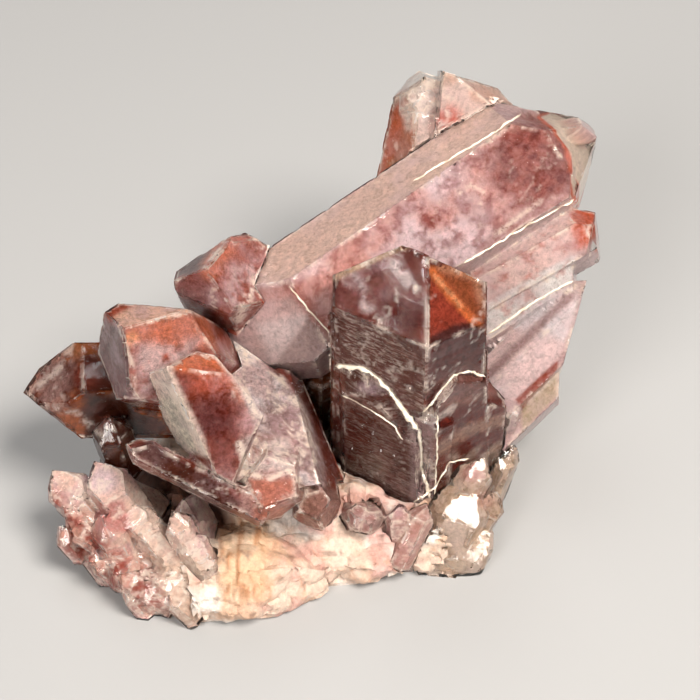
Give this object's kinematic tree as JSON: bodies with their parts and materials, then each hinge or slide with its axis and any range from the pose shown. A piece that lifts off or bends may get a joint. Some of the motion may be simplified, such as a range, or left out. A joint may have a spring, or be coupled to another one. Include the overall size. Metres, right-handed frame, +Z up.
{
  "type": "red phantom quartz cluster",
  "caption": "Natural cluster of reddish-brown phantom quartz crystals on a cream and orange matrix rock, cut flat underneath to stand on a shelf.",
  "frame": {"origin": "centre of the bounding box's lowest plane, on the flat underside", "axes": "+Z up, +X towards the tip of the long slanting crystal, -Y towards the viewer and the front prism's face"},
  "size_m": [0.1158, 0.0978, 0.0745],
  "materials": {
    "red_quartz": "glossy natural crystal faces, reddish-brown phantom under a clear skin",
    "pink_quartz": "glossy to satin natural crystal faces, mauve-pink and milky",
    "clear_quartz": "glossy, clear to milky",
    "matrix": "rough broken rock, cream with orange iron staining"
  },
  "bodies": {
    "root": {"front_prism": "red_quartz", "long_crystals": "pink_quartz", "upper_left_crystal": "red_quartz", "left_crystal": "red_quartz", "centre_left_crystal": "red_quartz", "small_front_crystals": "pink_quartz", "far_left_crystals": "red_quartz", "back_crystals": "pink_quartz", "druse_ridge": "pink_quartz", "clear_quartz_cluster": "clear_quartz", "matrix_rock": "matrix"}
  },
  "joints": []
}
